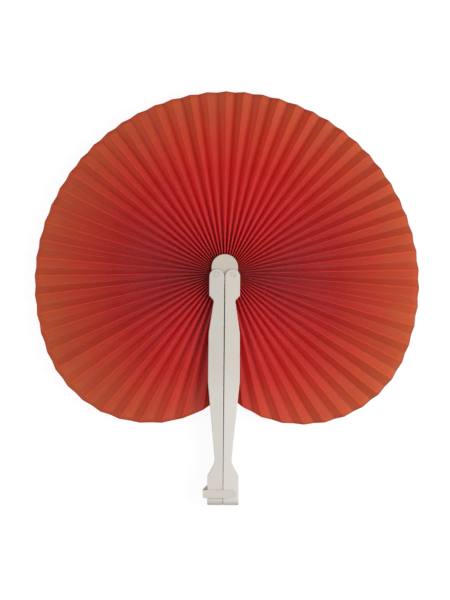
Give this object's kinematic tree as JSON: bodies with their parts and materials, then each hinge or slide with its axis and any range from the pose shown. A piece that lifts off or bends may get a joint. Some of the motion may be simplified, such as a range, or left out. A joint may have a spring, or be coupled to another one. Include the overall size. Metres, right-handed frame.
{
  "type": "hand fan",
  "caption": "Pocket fan whose two channel sticks swing round to open a pleated paper leaf into a disc, then stand together as its handle.",
  "frame": {"origin": "centre of the fan's outline, on the surface that its back lies on", "axes": "+Y from the handle to the top of the leaf, +X to the right seen from the front, +Z from the back to the front"},
  "size_m": [0.253, 0.2722, 0.0153],
  "materials": {
    "stick_plastic": "moulded satin",
    "hub_plastic": "moulded satin",
    "pin_plastic": "moulded satin",
    "clasp_plastic": "moulded satin",
    "leaf_paper": "uncoated dyed paper"
  },
  "bodies": {
    "hub": {"hub_front_plate": "hub_plastic", "hub_back_plate": "hub_plastic", "hub_post": "pin_plastic", "left_front_pin": "pin_plastic", "left_back_pin": "pin_plastic", "right_front_pin": "pin_plastic", "right_back_pin": "pin_plastic"},
    "left_stick": {"left_stick": "stick_plastic"},
    "right_stick": {"right_stick": "stick_plastic", "clasp_pin": "pin_plastic"},
    "clasp": {"clasp": "clasp_plastic"},
    "leaf_left_1": {"leaf_left_1": "leaf_paper"},
    "leaf_left_2": {"leaf_left_2": "leaf_paper"},
    "leaf_left_3": {"leaf_left_3": "leaf_paper"},
    "leaf_left_4": {"leaf_left_4": "leaf_paper"},
    "leaf_left_5": {"leaf_left_5": "leaf_paper"},
    "leaf_left_6": {"leaf_left_6": "leaf_paper"},
    "leaf_left_7": {"leaf_left_7": "leaf_paper"},
    "leaf_left_8": {"leaf_left_8": "leaf_paper"},
    "leaf_left_9": {"leaf_left_9": "leaf_paper"},
    "leaf_left_10": {"leaf_left_10": "leaf_paper"},
    "leaf_right_1": {"leaf_right_1": "leaf_paper"},
    "leaf_right_2": {"leaf_right_2": "leaf_paper"},
    "leaf_right_3": {"leaf_right_3": "leaf_paper"},
    "leaf_right_4": {"leaf_right_4": "leaf_paper"},
    "leaf_right_5": {"leaf_right_5": "leaf_paper"},
    "leaf_right_6": {"leaf_right_6": "leaf_paper"},
    "leaf_right_7": {"leaf_right_7": "leaf_paper"},
    "leaf_right_8": {"leaf_right_8": "leaf_paper"},
    "leaf_right_9": {"leaf_right_9": "leaf_paper"},
    "leaf_right_10": {"leaf_right_10": "leaf_paper"}
  },
  "joints": [
    {"name": "left_swing", "type": "hinge", "parent": "hub", "child": "left_stick", "pos_m": [-0.007, 0.0158, 0.007], "axis": [0, 0, -1], "range_deg": [0, 179.9]},
    {"name": "right_swing", "type": "hinge", "parent": "hub", "child": "right_stick", "pos_m": [0.0042, 0.0158, 0.007], "axis": [0, 0, 1], "range_deg": [0, 179.9]},
    {"name": "clasp_swing", "type": "hinge", "parent": "right_stick", "child": "clasp", "pos_m": [0.0041, -0.12865, 0.007], "axis": [0, 0, 1], "range_deg": [0, 180]},
    {"name": "leaf_left_1_turn", "type": "hinge", "parent": "hub", "child": "leaf_left_1", "pos_m": [-0.007, 0.0158, 0.007], "axis": [0, 0, -1], "range_deg": [0, 8.65], "deforming": ["leaf_left_1"]},
    {"name": "leaf_left_2_turn", "type": "hinge", "parent": "hub", "child": "leaf_left_2", "pos_m": [-0.007, 0.0158, 0.007], "axis": [0, 0, -1], "range_deg": [0, 25.74], "deforming": ["leaf_left_2"]},
    {"name": "leaf_left_3_turn", "type": "hinge", "parent": "hub", "child": "leaf_left_3", "pos_m": [-0.007, 0.0158, 0.007], "axis": [0, 0, -1], "range_deg": [0, 42.83], "deforming": ["leaf_left_3"]},
    {"name": "leaf_left_4_turn", "type": "hinge", "parent": "hub", "child": "leaf_left_4", "pos_m": [-0.007, 0.0158, 0.007], "axis": [0, 0, -1], "range_deg": [0, 59.93], "deforming": ["leaf_left_4"]},
    {"name": "leaf_left_5_turn", "type": "hinge", "parent": "hub", "child": "leaf_left_5", "pos_m": [-0.007, 0.0158, 0.007], "axis": [0, 0, -1], "range_deg": [0, 77.08], "deforming": ["leaf_left_5"]},
    {"name": "leaf_left_6_turn", "type": "hinge", "parent": "hub", "child": "leaf_left_6", "pos_m": [-0.007, 0.0158, 0.007], "axis": [0, 0, -1], "range_deg": [0, 94.35], "deforming": ["leaf_left_6"]},
    {"name": "leaf_left_7_turn", "type": "hinge", "parent": "hub", "child": "leaf_left_7", "pos_m": [-0.007, 0.0158, 0.007], "axis": [0, 0, -1], "range_deg": [0, 111.87], "deforming": ["leaf_left_7"]},
    {"name": "leaf_left_8_turn", "type": "hinge", "parent": "hub", "child": "leaf_left_8", "pos_m": [-0.007, 0.0158, 0.007], "axis": [0, 0, -1], "range_deg": [0, 129.88], "deforming": ["leaf_left_8"]},
    {"name": "leaf_left_9_turn", "type": "hinge", "parent": "hub", "child": "leaf_left_9", "pos_m": [-0.007, 0.0158, 0.007], "axis": [0, 0, -1], "range_deg": [0, 148.77], "deforming": ["leaf_left_9"]},
    {"name": "leaf_left_10_turn", "type": "hinge", "parent": "hub", "child": "leaf_left_10", "pos_m": [-0.007, 0.0158, 0.007], "axis": [0, 0, -1], "range_deg": [0, 169.08], "deforming": ["leaf_left_10"]},
    {"name": "leaf_right_1_turn", "type": "hinge", "parent": "hub", "child": "leaf_right_1", "pos_m": [0.0042, 0.0158, 0.007], "axis": [0, 0, 1], "range_deg": [0, 8.38], "deforming": ["leaf_right_1"]},
    {"name": "leaf_right_2_turn", "type": "hinge", "parent": "hub", "child": "leaf_right_2", "pos_m": [0.0042, 0.0158, 0.007], "axis": [0, 0, 1], "range_deg": [0, 24.91], "deforming": ["leaf_right_2"]},
    {"name": "leaf_right_3_turn", "type": "hinge", "parent": "hub", "child": "leaf_right_3", "pos_m": [0.0042, 0.0158, 0.007], "axis": [0, 0, 1], "range_deg": [0, 42.83], "deforming": ["leaf_right_3"]},
    {"name": "leaf_right_4_turn", "type": "hinge", "parent": "hub", "child": "leaf_right_4", "pos_m": [0.0042, 0.0158, 0.007], "axis": [0, 0, 1], "range_deg": [0, 60.76], "deforming": ["leaf_right_4"]},
    {"name": "leaf_right_5_turn", "type": "hinge", "parent": "hub", "child": "leaf_right_5", "pos_m": [0.0042, 0.0158, 0.007], "axis": [0, 0, 1], "range_deg": [0, 77.37], "deforming": ["leaf_right_5"]},
    {"name": "leaf_right_6_turn", "type": "hinge", "parent": "hub", "child": "leaf_right_6", "pos_m": [0.0042, 0.0158, 0.007], "axis": [0, 0, 1], "range_deg": [0, 94.06], "deforming": ["leaf_right_6"]},
    {"name": "leaf_right_7_turn", "type": "hinge", "parent": "hub", "child": "leaf_right_7", "pos_m": [0.0042, 0.0158, 0.007], "axis": [0, 0, 1], "range_deg": [0, 111.01], "deforming": ["leaf_right_7"]},
    {"name": "leaf_right_8_turn", "type": "hinge", "parent": "hub", "child": "leaf_right_8", "pos_m": [0.0042, 0.0158, 0.007], "axis": [0, 0, 1], "range_deg": [0, 129.88], "deforming": ["leaf_right_8"]},
    {"name": "leaf_right_9_turn", "type": "hinge", "parent": "hub", "child": "leaf_right_9", "pos_m": [0.0042, 0.0158, 0.007], "axis": [0, 0, 1], "range_deg": [0, 149.7], "deforming": ["leaf_right_9"]},
    {"name": "leaf_right_10_turn", "type": "hinge", "parent": "hub", "child": "leaf_right_10", "pos_m": [0.0042, 0.0158, 0.007], "axis": [0, 0, 1], "range_deg": [0, 169.42], "deforming": ["leaf_right_10"]}
  ],
  "couplings": [
    {"joint": "leaf_left_1_turn", "follows": "left_swing", "ratio": 0.0475},
    {"joint": "leaf_left_2_turn", "follows": "left_swing", "ratio": 0.1425},
    {"joint": "leaf_left_3_turn", "follows": "left_swing", "ratio": 0.2375},
    {"joint": "leaf_left_4_turn", "follows": "left_swing", "ratio": 0.3326},
    {"joint": "leaf_left_5_turn", "follows": "left_swing", "ratio": 0.4279},
    {"joint": "leaf_left_6_turn", "follows": "left_swing", "ratio": 0.5239},
    {"joint": "leaf_left_7_turn", "follows": "left_swing", "ratio": 0.6213},
    {"joint": "leaf_left_8_turn", "follows": "left_swing", "ratio": 0.7214},
    {"joint": "leaf_left_9_turn", "follows": "left_swing", "ratio": 0.8264},
    {"joint": "leaf_left_10_turn", "follows": "left_swing", "ratio": 0.9393},
    {"joint": "leaf_right_1_turn", "follows": "right_swing", "ratio": 0.046},
    {"joint": "leaf_right_2_turn", "follows": "right_swing", "ratio": 0.1379},
    {"joint": "leaf_right_3_turn", "follows": "right_swing", "ratio": 0.2375},
    {"joint": "leaf_right_4_turn", "follows": "right_swing", "ratio": 0.3372},
    {"joint": "leaf_right_5_turn", "follows": "right_swing", "ratio": 0.4295},
    {"joint": "leaf_right_6_turn", "follows": "right_swing", "ratio": 0.5223},
    {"joint": "leaf_right_7_turn", "follows": "right_swing", "ratio": 0.6165},
    {"joint": "leaf_right_8_turn", "follows": "right_swing", "ratio": 0.7214},
    {"joint": "leaf_right_9_turn", "follows": "right_swing", "ratio": 0.8316},
    {"joint": "leaf_right_10_turn", "follows": "right_swing", "ratio": 0.9412}
  ]
}
